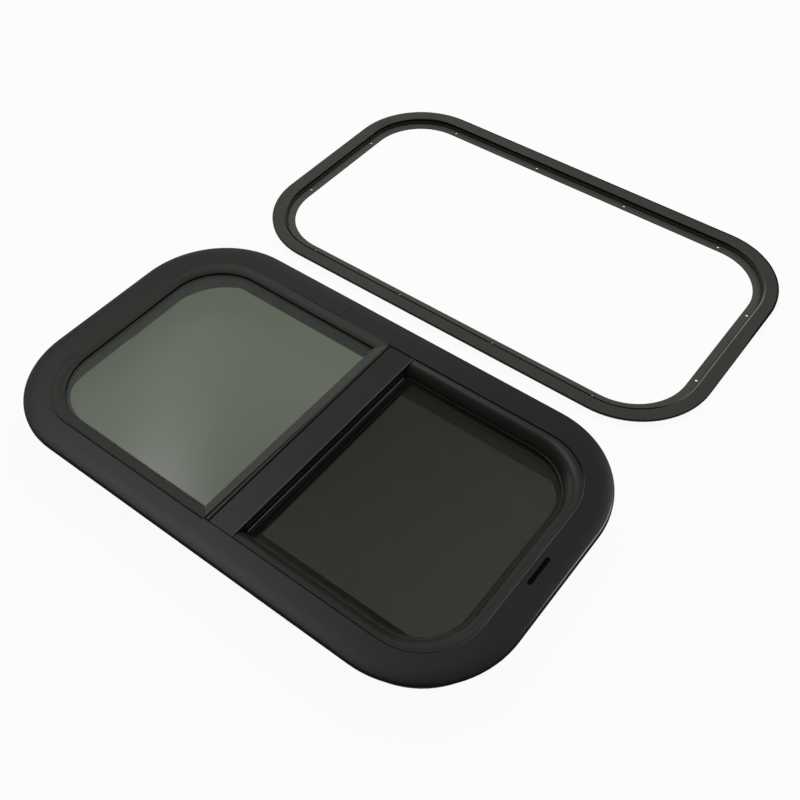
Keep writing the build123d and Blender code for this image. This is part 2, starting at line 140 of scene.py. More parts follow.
def squeeze(tree, value, low, high, start=0.3, stop=0.7):
    """A value from start to stop, turned into one from low to high."""
    spread = tree.nodes.new("ShaderNodeMapRange")
    spread.inputs["From Min"].default_value = start
    spread.inputs["From Max"].default_value = stop
    spread.inputs["To Min"].default_value = low
    spread.inputs["To Max"].default_value = high
    tree.links.new(value, spread.inputs["Value"])
    return spread.outputs["Result"]


def two_tone(tree, value, dark, light):
    """A colour between two tones, by a value from 0 to 1."""
    mix = tree.nodes.new("ShaderNodeMix")
    mix.data_type = "RGBA"
    mix.inputs["A"].default_value = (*dark, 1)
    mix.inputs["B"].default_value = (*light, 1)
    tree.links.new(value, mix.inputs["Factor"])
    return mix.outputs["Result"]


def add_relief(tree, shader, height, depth, edge):
    """Bump of a depth on a shader's normal, with sharp edges shaded as if rounded."""
    rounded = tree.nodes.new("ShaderNodeBevel")
    rounded.samples = 4
    rounded.inputs["Radius"].default_value = edge
    bump = tree.nodes.new("ShaderNodeBump")
    bump.inputs["Distance"].default_value = depth
    tree.links.new(height, bump.inputs["Height"])
    tree.links.new(rounded.outputs["Normal"], bump.inputs["Normal"])
    tree.links.new(bump.outputs["Normal"], shader.inputs["Normal"])


def shade(colour, factor):
    """A colour made darker or lighter."""
    return tuple(channel * factor for channel in colour)


print("finish helpers ready")

# %% [markdown]
# ## Coated metal, rubber and plastic
#
# The bent frame, the mullion and the ring are coated aluminium: nearly black, with the fine
# pebbled skin of a powder coat, which spreads the light into a soft satin. The gaskets are
# duller and the moulded pieces duller still. Some finishes are painted light: lighter copies of
# the coat are painted highlights on edges and a painted lit lip on the ring, and a near-black one
# is painted shade in gaps, grooves and hollows. One function makes all of them. It mixes a slow
# noise into the tone and a fine one into the roughness, so that no face is one flat colour, adds
# the fine noise as bump for the skin's grain, and shades sharp edges as if they were rounded.

# %% Coatings, rubber and plastic
rounded_edge = 0.5 * mm
patch_scale = 9.0
gloss_spread = 0.05


def grained(name, colour, roughness, specular, grain, grain_depth, contrast=0.10):
    """A dark finish with fine grain and slow changes of tone and gloss."""
    finish, tree, shader = start_finish(name)
    slow = object_noise(tree, patch_scale, detail=3.0)
    tone = squeeze(tree, slow, 0.0, 1.0)
    tint = two_tone(tree, tone, shade(colour, 1 - contrast), shade(colour, 1 + contrast))
    tree.links.new(tint, shader.inputs["Base Color"])
    fine = object_noise(tree, grain, detail=2.0)
    gloss = squeeze(tree, fine, roughness - gloss_spread, roughness + gloss_spread)
    tree.links.new(gloss, shader.inputs["Roughness"])
    shader.inputs["Specular IOR Level"].default_value = specular
    add_relief(tree, shader, fine, grain_depth, rounded_edge)
    print(name, "has a roughness of about", roughness)
    return finish


coat = {"specular": 0.5, "grain": 1400, "grain_depth": 0.02 * mm}
frame_finish = grained("frame_coat", (0.0070, 0.0070, 0.0059), 0.40, **coat)
# The reveal trim's coat, used also as painted shade on the ring's wall.
trim_and_wall_shade_finish = grained("trim_coat_and_wall_shade", (0.0092, 0.0093, 0.0072), 0.40, **coat)
ring_finish = grained("ring_coat", (0.0286, 0.0290, 0.0230), 0.44, **coat)
# Painted light: a lighter copy of the ring's coat for its inner lip.
lit_lip_finish = grained("painted_lit_lip", (0.050, 0.051, 0.040), 0.44, **coat)
# The stile's coat, used also as painted shade on the screen's broad near rail.
rail_and_shade_finish = grained("rail_coat_and_near_shade", (0.010, 0.010, 0.010), 0.38, **coat)
# The screen frame's coat, used also as painted reflection on the screen's broad far rail.
screen_and_reflection_finish = grained("screen_coat", (0.085, 0.085, 0.077), 0.42, **coat)

bare = {"specular": 0.5, "grain": 2600, "grain_depth": 0.01 * mm}
# Painted highlight: a bright copy of the coat for edges that catch the light.
bright_highlight_finish = grained("painted_bright_highlight", (0.19, 0.19, 0.18), 0.40, **bare, contrast=0.25)
# Painted highlight, fainter, for edges that catch less light.
dim_highlight_finish = grained("painted_dim_highlight", (0.040, 0.040, 0.037), 0.40, **bare)

skin = {"specular": 0.45, "grain": 2200, "grain_depth": 0.015 * mm}
gasket_finish = grained("gasket_skin", (0.0182, 0.0182, 0.0146), 0.50, **skin)
bead_finish = grained("bead_skin", (0.038, 0.038, 0.032), 0.50, **skin)

# A soft seal's finish, used also as painted shade on the ring's outer edge.
seal_and_shade_finish = grained("soft_seal_and_edge_shade", (0.008, 0.008, 0.008), 0.65,
                      specular=0.3, grain=2200, grain_depth=0.02 * mm)
plastic_finish = grained("moulding", (0.009, 0.009, 0.009), 0.55,
                         specular=0.4, grain=1800, grain_depth=0.02 * mm)
# Painted shade: a near-black finish put in gaps, grooves, hollows and the drain slot, where shade
# falls.
painted_shade_finish = grained("painted_shade_black", (0.002, 0.002, 0.002), 0.8,
                        specular=0.1, grain=1800, grain_depth=0.02 * mm)
pile_finish = grained("pile_fibre", (0.008, 0.008, 0.008), 0.85,
                      specular=0.2, grain=3000, grain_depth=0.02 * mm)
yarn_finish = grained("yarn_skin", (0.012, 0.012, 0.011), 0.6,
                      specular=0.3, grain=3000, grain_depth=0.01 * mm)

# %% [markdown]
# ## Tinted glass
#
# Both panes are grey-green safety glass, 4 mm thick. Light goes in through one face and out
# through the other, and a Principled shader with full transmission tints it on the way by its
# base colour. Cycles lets no lamp light through such glass, so everything behind would be
# black. A Mix Shader puts a tinted Transparent shader in its place for rays from lamps only.
# The fixed pane is out in the weather and has a dull film, which is a rough coat on the shader.
# Beside the mullion its tint is lighter on the far side than on the near one, which is painted
# light. The sliding pane is clean, and its tint gets a little lighter towards its closing end,
# which is painted shade: darker beside the mullion, whose shadow falls on the floor beneath.

# %% Glass
def tinted_glass(name, first_tint, last_tint, ends, lit, film, turn_at=None):
    """Glass with painted light in its drifting tint and a dull film; lit is the tint lamps shine
    through.

    The tint drifts along X between two ends. With turn_at it drifts along Y, and the more so the
    further right of that place, so the ends are then products of two lengths.
    """
    finish, tree, shader = start_finish(name)
    place = tree.nodes.new("ShaderNodeTexCoord")
    split = tree.nodes.new("ShaderNodeSeparateXYZ")
    tree.links.new(place.outputs["Object"], split.inputs[0])
    drift = split.outputs["X"]
    if turn_at is not None:
        reach = maths(tree, "SUBTRACT", drift, turn_at)
        drift = maths(tree, "MULTIPLY", reach, split.outputs["Y"])
    along = squeeze(tree, drift, 0.0, 1.0, *ends)
    tree.links.new(two_tone(tree, along, first_tint, last_tint), shader.inputs["Base Color"])
    shader.inputs["Transmission Weight"].default_value = 1.0
    shader.inputs["IOR"].default_value = 1.5
    shader.inputs["Coat Weight"].default_value = film
    shader.inputs["Coat Roughness"].default_value = 0.36
    shader.inputs["Coat IOR"].default_value = 1.7
    ripple = object_noise(tree, 14, detail=1.0)
    polish = squeeze(tree, ripple, 0.0, 0.03)
    tree.links.new(polish, shader.inputs["Roughness"])
    clear = tree.nodes.new("ShaderNodeBsdfTransparent")
    clear.inputs["Color"].default_value = (*lit, 1)
    path = tree.nodes.new("ShaderNodeLightPath")
    mix = tree.nodes.new("ShaderNodeMixShader")
    tree.links.new(path.outputs["Is Shadow Ray"], mix.inputs["Fac"])
    tree.links.new(shader.outputs["BSDF"], mix.inputs[1])
    tree.links.new(clear.outputs["BSDF"], mix.inputs[2])
    output = next(node for node in tree.nodes if node.type == "OUTPUT_MATERIAL")
    tree.links.new(mix.outputs["Shader"], output.inputs["Surface"])
    return finish


lamp_tint = (0.85, 0.87, 0.83)
# Painted light: the fixed pane's tint is lighter on the far side beside the mullion and darker on the
# near side.
fixed_finish = tinted_glass("filmed_glass", (0.090, 0.106, 0.077), (0.160, 0.190, 0.137),
                            ends=(-0.036, 0.036), lit=lamp_tint, film=0.52, turn_at=-0.30)
# Painted shade: the sliding pane's tint is darker beside the mullion, whose shadow falls on the floor
# beneath.
sliding_finish = tinted_glass("clean_glass", (0.115, 0.124, 0.094), (0.175, 0.178, 0.145),
                              ends=(0.04, 0.28), lit=lamp_tint, film=0.0)
print("glass:", fixed_finish.name, "and", sliding_finish.name)

# %% [markdown]
# ## Finishes on the solids
#
# A solid whose shape is right stays as it is and only gets its finish. Its mesh comes in as
# loose triangles, so a small modifier joins them and shades the round stretches smooth, with
# a limit on the angle so that real edges stay sharp. The solid's own shape isn't touched.

# %% Smooth shading for the solids
def smoothing_tree(limit):
    """Joins loose triangles and shades them smooth up to an angle."""
    tree = bpy.data.node_groups.new("smooth_solids", "GeometryNodeTree")
    tree.interface.new_socket("Geometry", in_out="INPUT", socket_type="NodeSocketGeometry")
    tree.interface.new_socket("Geometry", in_out="OUTPUT", socket_type="NodeSocketGeometry")
    source = tree.nodes.new("NodeGroupInput")
    result = tree.nodes.new("NodeGroupOutput")
    merge = tree.nodes.new("GeometryNodeMergeByDistance")
    merge.inputs["Distance"].default_value = 0.001 * mm
    all_smooth = tree.nodes.new("GeometryNodeSetShadeSmooth")
    angle = tree.nodes.new("GeometryNodeInputMeshEdgeAngle")
    below = tree.nodes.new("FunctionNodeCompare")
    below.data_type = "FLOAT"
    below.operation = "LESS_EQUAL"
    below.inputs["B"].default_value = limit
    edges = tree.nodes.new("GeometryNodeSetShadeSmooth")
    edges.domain = "EDGE"
    tree.links.new(source.outputs[0], merge.inputs["Geometry"])
    tree.links.new(merge.outputs["Geometry"], all_smooth.inputs["Geometry"])
    tree.links.new(angle.outputs["Unsigned Angle"], below.inputs["A"])
    tree.links.new(all_smooth.outputs["Geometry"], edges.inputs["Geometry"])
    tree.links.new(below.outputs["Result"], edges.inputs["Shade Smooth"])
    tree.links.new(edges.outputs["Geometry"], result.inputs[0])
    return tree


sharpest_smooth = 24
smooth_solids = smoothing_tree(math.radians(sharpest_smooth))
print("edges stay sharp above", sharpest_smooth, "degrees")

# %% Which piece has which finish
finish_of = {
    "outer_frame": frame_finish,
    "mullion": frame_finish,
    "reveal_trim": trim_and_wall_shade_finish,
    "trim_ring": ring_finish,
    "glazing_gasket": gasket_finish,
    "mullion_bead": bead_finish,
    "wiper_seal": gasket_finish,
    "glass_run_near": seal_and_shade_finish,
    "glass_run_far": seal_and_shade_finish,
    "end_seal": seal_and_shade_finish,
    "screen_spline": seal_and_shade_finish,
    "screen_frame": screen_and_reflection_finish,
    "sash_stile": rail_and_shade_finish,
    "stile_caps": plastic_finish,
    "sash_pull": plastic_finish,
    "screen_tabs": plastic_finish,
    "screen_clips": plastic_finish,
    # The weep baffle gets the painted shade of the drain slot it sits in.
    "weep_baffle": painted_shade_finish,
    "fixed_glass": fixed_finish,
    "sliding_glass": sliding_finish,
    "screen_mesh": yarn_finish,
    "mullion_pile": pile_finish,
    "stile_pile": pile_finish,
}
for node, finish in finish_of.items():
    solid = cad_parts[node]
    solid.data.materials.clear()
    solid.data.materials.append(finish)
    smooth = solid.modifiers.new("smooth", "NODES")
    smooth.node_group = smooth_solids
print("solids with a finish:", len(finish_of), "of", len(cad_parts))

# %% [markdown]
# ## Faces with a finish of their own
#
# The outer wall of the flange's turned edge always lies in its own shade, which is painted on it
# with a near-black finish. On the ring the inner lip is painted a little lighter than the flange,
# as painted light, and the wall between them and the outer edge are painted darker, as painted
# shade. All are faces of a larger solid, so they get another finish on the same mesh. A face
# is found by its slope, its level and how far it lies inside the rounded outline.

# %% Painted shade on the turned edge, painted light on the ring's lip, painted shade on its wall and edge
half_length = 330.2 * mm
half_width = 190.5 * mm
corner_radius = 116.4 * mm
ring_low, ring_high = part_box("trim_ring")
ring_centre = ((ring_low.x + ring_high.x) / 2, (ring_low.y + ring_high.y) / 2)
ring_radius = 106.5 * mm

turned_edge_depth = 1.2 * mm
turned_edge_bottom = 40 * mm
ring_edge_depth = 0.7 * mm
ring_edge_bottom = 6.0 * mm
ring_lip_top = 2.5 * mm
ring_wall_levels = (2.1 * mm, 8.6 * mm)


def outline_inset(place, centre, radius):
    """How far a place lies inside a rounded outline of the window's size."""
    past_x = abs(place.x - centre[0]) - (half_length - radius)
    past_y = abs(place.y - centre[1]) - (half_width - radius)
    if past_x > 0 and past_y > 0:
        return radius - math.hypot(past_x, past_y)
    return radius - max(past_x, past_y)


def second_finish(node, finish, chosen):
    """Gives the chosen faces of a solid another finish."""
    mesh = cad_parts[node].data
    mesh.materials.append(finish)
    faces = [face for face in mesh.polygons if chosen(face)]
    for face in faces:
        face.material_index = len(mesh.materials) - 1
    print(node, "has", len(faces), "faces with", finish.name)


def on_turned_edge(face):
    inset = outline_inset(face.center, (0.0, 0.0), corner_radius)
    return face.normal.z < 0.6 and face.center.z > turned_edge_bottom and inset < turned_edge_depth


def on_ring_lip(face):
    return face.normal.z > 0.9 and face.center.z < ring_lip_top


def on_ring_wall(face):
    bottom, top = ring_wall_levels
    return 0.2 < face.normal.z < 0.6 and bottom < face.center.z < top


def on_ring_edge(face):
    inset = outline_inset(face.center, ring_centre, ring_radius)
    return face.normal.z < 0.95 and face.center.z > ring_edge_bottom and inset < ring_edge_depth


second_finish("outer_frame", painted_shade_finish, on_turned_edge)
# Painted light on the ring's inner lip.
second_finish("trim_ring", lit_lip_finish, on_ring_lip)
# Painted shade on the ring's wall, in the darker trim coat.
second_finish("trim_ring", trim_and_wall_shade_finish, on_ring_wall)
# Painted shade on the ring's outer edge, in the near-black seal finish.
second_finish("trim_ring", seal_and_shade_finish, on_ring_edge)

# %% [markdown]
# ## Growing a piece from a node tree
#
# What repeats a hundred times over is made by Geometry Nodes: the yarns of the insect screen
# and the bristles of the pile. So are the bands that follow an outline. A helper puts a tree on
# an empty mesh, sets its inputs by their identifiers, takes the result as a plain mesh and
# throws the modifier away.

# %% Helpers for node trees
def start_tree(name, inputs):
    """A Geometry Nodes tree with named number inputs, a material and one geometry output."""
    tree = bpy.data.node_groups.new(name, "GeometryNodeTree")
    for title in inputs:
        tree.interface.new_socket(title, in_out="INPUT", socket_type="NodeSocketFloat")
    tree.interface.new_socket("Material", in_out="INPUT", socket_type="NodeSocketMaterial")
    tree.interface.new_socket("Geometry", in_out="OUTPUT", socket_type="NodeSocketGeometry")
    return tree, tree.nodes.new("NodeGroupInput").outputs, tree.nodes.new("NodeGroupOutput")


def vector(tree, x=0.0, y=0.0, z=0.0):
    """A vector from three sockets or numbers."""
    node = tree.nodes.new("ShaderNodeCombineXYZ")
    for socket, value in zip(node.inputs, (x, y, z)):
        plug(tree, socket, value)
    return node.outputs[0]


def end_tree(tree, result, parts, material):
    """Joins the parts, realizes the instances and sets the material."""
    join = tree.nodes.new("GeometryNodeJoinGeometry")
    for part in parts:
        tree.links.new(part, join.inputs["Geometry"])
    realize = tree.nodes.new("GeometryNodeRealizeInstances")
    paint = tree.nodes.new("GeometryNodeSetMaterial")
    tree.links.new(join.outputs["Geometry"], realize.inputs["Geometry"])
    tree.links.new(realize.outputs["Geometry"], paint.inputs["Geometry"])
    tree.links.new(material, paint.inputs["Material"])
    tree.links.new(paint.outputs["Geometry"], result.inputs[0])


def grow(name, tree, values):
    """Runs a tree on an empty mesh and keeps the result as a plain mesh object."""
    seed = bpy.data.objects.new(name + "_seed", bpy.data.meshes.new(name + "_seed"))
    bpy.context.scene.collection.objects.link(seed)
    modifier = seed.modifiers.new("grow", "NODES")
    modifier.node_group = tree
    for item in tree.interface.items_tree:
        if item.in_out == "INPUT":
            modifier[item.identifier] = values[item.name]
    graph = bpy.context.evaluated_depsgraph_get()
    mesh = bpy.data.meshes.new_from_object(seed.evaluated_get(graph))
    bpy.data.objects.remove(seed)
    mesh.name = name
    piece = bpy.data.objects.new(name, mesh)
    bpy.context.scene.collection.objects.link(piece)
    mesh.calc_loop_triangles()
    print(name, "has", len(mesh.loop_triangles), "triangles")
    return piece


print("tree helpers ready")

# %% [markdown]
# ## The insect screen
#
# The screen is woven from thin coated yarn, one set of yarns along the window and one across,
# and it is cut to the screen frame's rounded corners. Each yarn is one six-sided rod. A row of
# points gives the yarns their places, and the corner's circle gives each its length.

# %% Weave of the screen
def yarn_set(tree, start, step, count, end_of, width, along_x):
    """Rods on a row of points; end_of gives each rod's two ends from its place."""
    row = tree.nodes.new("GeometryNodeMeshLine")
    row.mode = "OFFSET"
    plug(tree, row.inputs["Count"], count)
    plug(tree, row.inputs["Start Location"], start)
    plug(tree, row.inputs["Offset"], step)
    place = tree.nodes.new("ShaderNodeSeparateXYZ")
    position = tree.nodes.new("GeometryNodeInputPosition")
    tree.links.new(position.outputs[0], place.inputs[0])
    first, last = end_of(place.outputs)
    length = maths(tree, "SUBTRACT", last, first)
    middle = maths(tree, "MULTIPLY", maths(tree, "ADD", first, last), 0.5)
    rod = tree.nodes.new("GeometryNodeMeshCylinder")
    rod.inputs["Vertices"].default_value = 6
    rod.inputs["Depth"].default_value = 1.0
    plug(tree, rod.inputs["Radius"], maths(tree, "MULTIPLY", width, 0.5))
    shift = tree.nodes.new("GeometryNodeSetPosition")
    moved = vector(tree, x=middle) if along_x else vector(tree, y=middle)
    tree.links.new(moved, shift.inputs["Offset"])
    copies = tree.nodes.new("GeometryNodeInstanceOnPoints")
    quarter = math.pi / 2
    copies.inputs["Rotation"].default_value = (0, quarter, 0) if along_x else (quarter, 0, 0)
    keep = tree.nodes.new("GeometryNodeStoreNamedAttribute")
    keep.data_type = "FLOAT"
    keep.domain = "POINT"
    keep.inputs["Name"].default_value = "rod_length"
    tree.links.new(row.outputs["Mesh"], keep.inputs["Geometry"])
    tree.links.new(length, keep.inputs["Value"])
    tree.links.new(keep.outputs["Geometry"], shift.inputs["Geometry"])
    recall = tree.nodes.new("GeometryNodeInputNamedAttribute")
    recall.data_type = "FLOAT"
    recall.inputs["Name"].default_value = "rod_length"
    tree.links.new(shift.outputs["Geometry"], copies.inputs["Points"])
    tree.links.new(rod.outputs["Mesh"], copies.inputs["Instance"])
    tree.links.new(vector(tree, 1.0, 1.0, recall.outputs[0]), copies.inputs["Scale"])
    return copies.outputs["Instances"]


def weave_tree():
    """Two sets of yarns, cut to an outline with two rounded corners at its right end."""
    inputs = ["Left", "Right", "Half Width", "Corner", "Pitch", "Yarn", "Level"]
    tree, given, result = start_tree("screen_weave", inputs)
    left, right, half, corner, pitch, yarn, level = (given[title] for title in inputs)
    bend_x = maths(tree, "SUBTRACT", right, corner)
    bend_y = maths(tree, "SUBTRACT", half, corner)

    def reach(past):
        """How far the corner's circle reaches at a distance past its start."""
        inside = maths(tree, "MAXIMUM", past, 0.0)
        square = maths(tree, "SUBTRACT", maths(tree, "POWER", corner, 2.0),
                       maths(tree, "POWER", inside, 2.0))
        return maths(tree, "SQRT", maths(tree, "MAXIMUM", square, 0.0))

    def ends_along(place):
        past = maths(tree, "SUBTRACT", maths(tree, "ABSOLUTE", place["Y"]), bend_y)
        return left, maths(tree, "ADD", bend_x, reach(past))

    def ends_across(place):
        past = maths(tree, "SUBTRACT", place["X"], bend_x)
        top = maths(tree, "ADD", bend_y, reach(past))
        return maths(tree, "MULTIPLY", top, -1.0), top

    lift = maths(tree, "MULTIPLY", yarn, 0.4)
    upper = maths(tree, "ADD", level, lift)
    lower = maths(tree, "SUBTRACT", level, lift)
    first_y = maths(tree, "ADD", maths(tree, "MULTIPLY", half, -1.0), pitch)
    first_x = maths(tree, "ADD", left, pitch)
    across_all = maths(tree, "DIVIDE", maths(tree, "MULTIPLY", half, 2.0), pitch)
    along_all = maths(tree, "DIVIDE", maths(tree, "SUBTRACT", right, left), pitch)
    rows = maths(tree, "SUBTRACT", across_all, 1.0)
    files = maths(tree, "SUBTRACT", along_all, 1.0)
    along = yarn_set(tree, vector(tree, y=first_y, z=upper), vector(tree, y=pitch), rows,
                     ends_along, yarn, True)
    across = yarn_set(tree, vector(tree, x=first_x, z=lower), vector(tree, x=pitch), files,
                      ends_across, yarn, False)
    end_tree(tree, result, [along, across], given["Material"])
    return tree


mesh_low, mesh_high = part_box("screen_mesh")
yarn_pitch = 1.15 * mm
yarn_width = 0.52 * mm
mesh_corner = corner_radius - (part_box("outer_frame")[1].x - mesh_high.x)
screen = grow("screen_weave", weave_tree(), {
    "Left": mesh_low.x,
    "Right": mesh_high.x,
    "Half Width": mesh_high.y,
    "Corner": mesh_corner,
    "Pitch": yarn_pitch,
    "Yarn": yarn_width,
    "Level": (mesh_low.z + mesh_high.z) / 2,
    "Material": yarn_finish,
})
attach(screen, "window")
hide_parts("screen_mesh")

# %% [markdown]
# ## The pile strips
#
# Two brushes of short bristles keep the draught out: one hangs under the mullion's wall, and a
# wider one stands on the sliding stile beside it. Each is a thin backing with a field of
# bristles. A bristle is a thin rod that leans a little its own way, and the seed is fixed, so
# that it leans the same way every time.

# %% Bristles of the pile strips
def pile_tree():
    """A backing strip at a root level and a field of bristles from there to a tip level."""
    inputs = ["X", "Half Length", "Width", "Root", "Tip", "Backing", "Pitch", "Bristle", "Lean"]
    tree, given, result = start_tree("pile_strip", inputs)
    x, half, width, root, tip, backing, pitch, bristle, lean = (given[title] for title in inputs)
    length = maths(tree, "MULTIPLY", half, 2.0)
    rise = maths(tree, "SUBTRACT", tip, root)
    base = maths(tree, "MULTIPLY", maths(tree, "SIGN", rise), backing)
    face = maths(tree, "ADD", root, base)

    strip = tree.nodes.new("GeometryNodeMeshCube")
    tree.links.new(vector(tree, width, length, backing), strip.inputs["Size"])
    seat = tree.nodes.new("GeometryNodeTransform")
    seat_level = maths(tree, "ADD", root, maths(tree, "MULTIPLY", base, 0.5))
    tree.links.new(strip.outputs["Mesh"], seat.inputs["Geometry"])
    tree.links.new(vector(tree, x=x, z=seat_level), seat.inputs["Translation"])

    field = tree.nodes.new("GeometryNodeMeshGrid")
    for size, side, count in ((width, "Size X", "Vertices X"), (length, "Size Y", "Vertices Y")):
        inside = maths(tree, "SUBTRACT", size, pitch)
        steps = maths(tree, "DIVIDE", inside, pitch)
        tree.links.new(inside, field.inputs[side])
        tree.links.new(maths(tree, "ADD", steps, 1.0), field.inputs[count])
    spot = tree.nodes.new("GeometryNodeTransform")
    spot_level = maths(tree, "MULTIPLY", maths(tree, "ADD", face, tip), 0.5)
    tree.links.new(field.outputs["Mesh"], spot.inputs["Geometry"])
    tree.links.new(vector(tree, x=x, z=spot_level), spot.inputs["Translation"])

    rod = tree.nodes.new("GeometryNodeMeshCylinder")
    rod.inputs["Vertices"].default_value = 4
    plug(tree, rod.inputs["Radius"], maths(tree, "MULTIPLY", bristle, 0.5))
    plug(tree, rod.inputs["Depth"], maths(tree, "ABSOLUTE", maths(tree, "SUBTRACT", tip, face)))
    tilt = tree.nodes.new("FunctionNodeRandomValue")
    tilt.data_type = "FLOAT_VECTOR"
    tilt.inputs["Seed"].default_value = 7
    low = maths(tree, "MULTIPLY", lean, -1.0)
    tree.links.new(vector(tree, low, low, low), tilt.inputs["Min"])
    tree.links.new(vector(tree, lean, lean, lean), tilt.inputs["Max"])
    copies = tree.nodes.new("GeometryNodeInstanceOnPoints")
    tree.links.new(spot.outputs["Geometry"], copies.inputs["Points"])
    tree.links.new(rod.outputs["Mesh"], copies.inputs["Instance"])
    tree.links.new(tilt.outputs["Value"], copies.inputs["Rotation"])
    end_tree(tree, result, [seat.outputs["Geometry"], copies.outputs["Instances"]], given["Material"])
    return tree


backing_depth = 0.3 * mm
bristle_width = 0.3 * mm
bristle_lean = math.radians(8)


def pile_strip(name, node, body, root_up, pitch):
    """Bristles in the place of a pile strip's solid, with their root at its top or bottom."""
    low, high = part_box(node)
    strip = grow(name, pile, {
        "X": (low.x + high.x) / 2,
        "Half Length": high.y,
        "Width": high.x - low.x,
        "Root": high.z if root_up else low.z,
        "Tip": low.z if root_up else high.z,
        "Backing": backing_depth,
        "Pitch": pitch,
        "Bristle": bristle_width,
        "Lean": bristle_lean,
        "Material": pile_finish,
    })
    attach(strip, body)
    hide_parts(node)


pile = pile_tree()
pile_strip("mullion_bristles", "mullion_pile", "window", root_up=True, pitch=0.45 * mm)
pile_strip("stile_bristles", "stile_pile", "sash", root_up=False, pitch=0.65 * mm)

# %% [markdown]
# ## Lines along the edges
#
# Narrow bands draw the edges: the gasket's lip that closes the joint on the flange, a lip on the
# shelf under the fixed pane, a black band of painted shade along a joint, lines of painted shade
# and lines of painted highlight. They follow a stretch of a rounded outline. One node tree makes
# that outline, rounds its corners, cuts the stretch out of it and sweeps a band along it. The band
# can thin out towards its ends.
# The outline starts where the right side ends and runs by the far side, or it is turned by half
# and starts where the left side ends.

# %% Bands along an outline
def band_tree():
    """A band that follows a stretch of a rounded outline."""
    inputs = ["Centre X", "Centre Y", "Level", "Half Length", "Half Width", "Corner", "Turn",
              "Start", "End", "Width", "Fall", "First Fade", "Last Fade"]
    tree, given, result = start_tree("edge_band", inputs)
    outline = tree.nodes.new("GeometryNodeCurvePrimitiveQuadrilateral")
    plug(tree, outline.inputs["Width"], maths(tree, "MULTIPLY", given["Half Length"], 2.0))
    plug(tree, outline.inputs["Height"], maths(tree, "MULTIPLY", given["Half Width"], 2.0))
    bends = tree.nodes.new("GeometryNodeFilletCurve")
    bends.mode = "POLY"
    bends.inputs["Count"].default_value = 48
    tree.links.new(outline.outputs["Curve"], bends.inputs["Curve"])
    tree.links.new(given["Corner"], bends.inputs["Radius"])
    stretch = tree.nodes.new("GeometryNodeTrimCurve")
    stretch.mode = "LENGTH"
    tree.links.new(bends.outputs["Curve"], stretch.inputs["Curve"])
    for title in ("Start", "End"):
        socket = next(one for one in stretch.inputs if one.name == title and one.enabled)
        tree.links.new(given[title], socket)
    even = tree.nodes.new("GeometryNodeResampleCurve")
    even.mode = "LENGTH"
    even.inputs["Length"].default_value = 2 * mm
    tree.links.new(stretch.outputs["Curve"], even.inputs["Curve"])
    seat = tree.nodes.new("GeometryNodeTransform")
    tree.links.new(even.outputs["Curve"], seat.inputs["Geometry"])
    tree.links.new(vector(tree, z=given["Turn"]), seat.inputs["Rotation"])
    tree.links.new(vector(tree, given["Centre X"], given["Centre Y"], given["Level"]),
                   seat.inputs["Translation"])
    upright = tree.nodes.new("GeometryNodeSetCurveNormal")
    upright.mode = "Z_UP"
    tree.links.new(seat.outputs["Geometry"], upright.inputs["Curve"])

    profile = tree.nodes.new("GeometryNodeCurvePrimitiveLine")
    side = maths(tree, "MULTIPLY", given["Width"], 0.5)
    drop = maths(tree, "MULTIPLY", given["Fall"], 0.5)
    inner = vector(tree, maths(tree, "MULTIPLY", side, -1.0), drop)
    outer = vector(tree, side, maths(tree, "MULTIPLY", drop, -1.0))
    tree.links.new(inner, profile.inputs["Start"])
    tree.links.new(outer, profile.inputs["End"])

    done = tree.nodes.new("GeometryNodeSplineParameter").outputs["Length"]
    whole = tree.nodes.new("GeometryNodeSplineLength").outputs["Length"]
    first = maths(tree, "DIVIDE", done, given["First Fade"])
    last = maths(tree, "DIVIDE", maths(tree, "SUBTRACT", whole, done), given["Last Fade"])
    narrow = maths(tree, "MAXIMUM", maths(tree, "MINIMUM", first, last), 0.05)
    sweep = tree.nodes.new("GeometryNodeCurveToMesh")
    tree.links.new(upright.outputs["Curve"], sweep.inputs["Curve"])
    tree.links.new(profile.outputs["Curve"], sweep.inputs["Profile Curve"])
    plug(tree, sweep.inputs["Scale"], maths(tree, "MINIMUM", narrow, 1.0))
    end_tree(tree, result, [sweep.outputs["Mesh"]], given["Material"])
    return tree


bands = band_tree()
no_fade = 0.01 * mm
no_turn = 0.0
half_turn = math.pi
mullion_left = -6.7 * mm


class Outline:
    """A rounded outline inside the window's or the ring's, with lengths along it."""

    def __init__(self, inset, corner, centre=(0.0, 0.0)):
        self.centre = centre
        self.length = half_length - inset
        self.width = half_width - inset
        self.corner = corner
        self.arc = math.pi / 2 * corner
        self.long_side = 2 * (self.length - corner)
        self.short_side = 2 * (self.width - corner)

    def after(self, sides, more=0.0):
        """The length along the outline after so many corners and sides in turn, and a bit more."""
        steps = (self.arc, self.long_side, self.arc, self.short_side) * 2
        return sum(steps[:sides]) + more

    def far_mullion(self):
        """The length along the outline to the mullion on the far side."""
        return self.after(1, self.length - self.corner - mullion_left)

    def near_mullion(self):
        """The length along the outline to the mullion on the near side."""
        return self.after(5, self.length - self.corner + mullion_left)


def edge_band(name, finish, outline, turn, start, end, level, width, fall=0.0,
              first_fade=no_fade, last_fade=no_fade):
    """One band on the window's body; its outer edge is higher than its inner one by the fall."""
    piece = grow(name, bands, {
        "Centre X": outline.centre[0],
        "Centre Y": outline.centre[1],
        "Level": level,
        "Half Length": outline.length,
        "Half Width": outline.width,
        "Corner": outline.corner,
        "Turn": turn,
        "Start": start,
        "End": end,
        "Width": width,
        "Fall": fall,
        "First Fade": first_fade,
        "Last Fade": last_fade,
        "Material": finish,
    })
    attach(piece, "window")


print("band tree ready:", bands.name)

